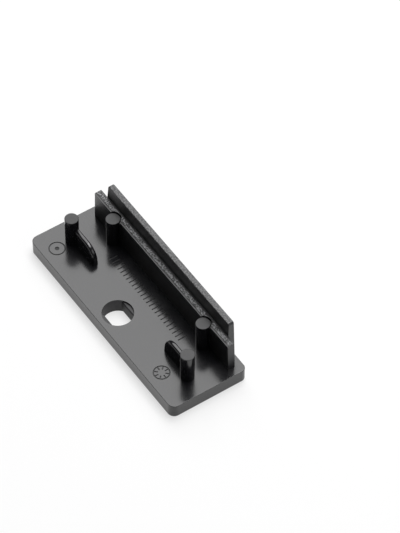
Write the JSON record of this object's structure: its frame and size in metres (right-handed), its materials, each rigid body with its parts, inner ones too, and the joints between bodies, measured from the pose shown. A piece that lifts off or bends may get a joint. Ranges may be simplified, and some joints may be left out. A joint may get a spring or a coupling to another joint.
{
  "type": "profile end cap",
  "caption": "Moulded plastic end cap for a hollow profile: flat plate with a stepped rib, locating pins, bracing fins and a flat-sided screw hole.",
  "frame": {"origin": "middle of the plate's outer face, the flat side that shows when the cap is fitted and that it rests on here", "axes": "+X along the plate, +Y towards the stepped rib, +Z from the outer face towards the pins, into the profile"},
  "size_m": [0.05, 0.0172, 0.0132],
  "materials": {
    "cap_plastic": "black moulded plastic, smooth satin inner face, fine spark-eroded grain elsewhere"
  },
  "bodies": {
    "root": {"end_cap": "cap_plastic"}
  },
  "joints": []
}
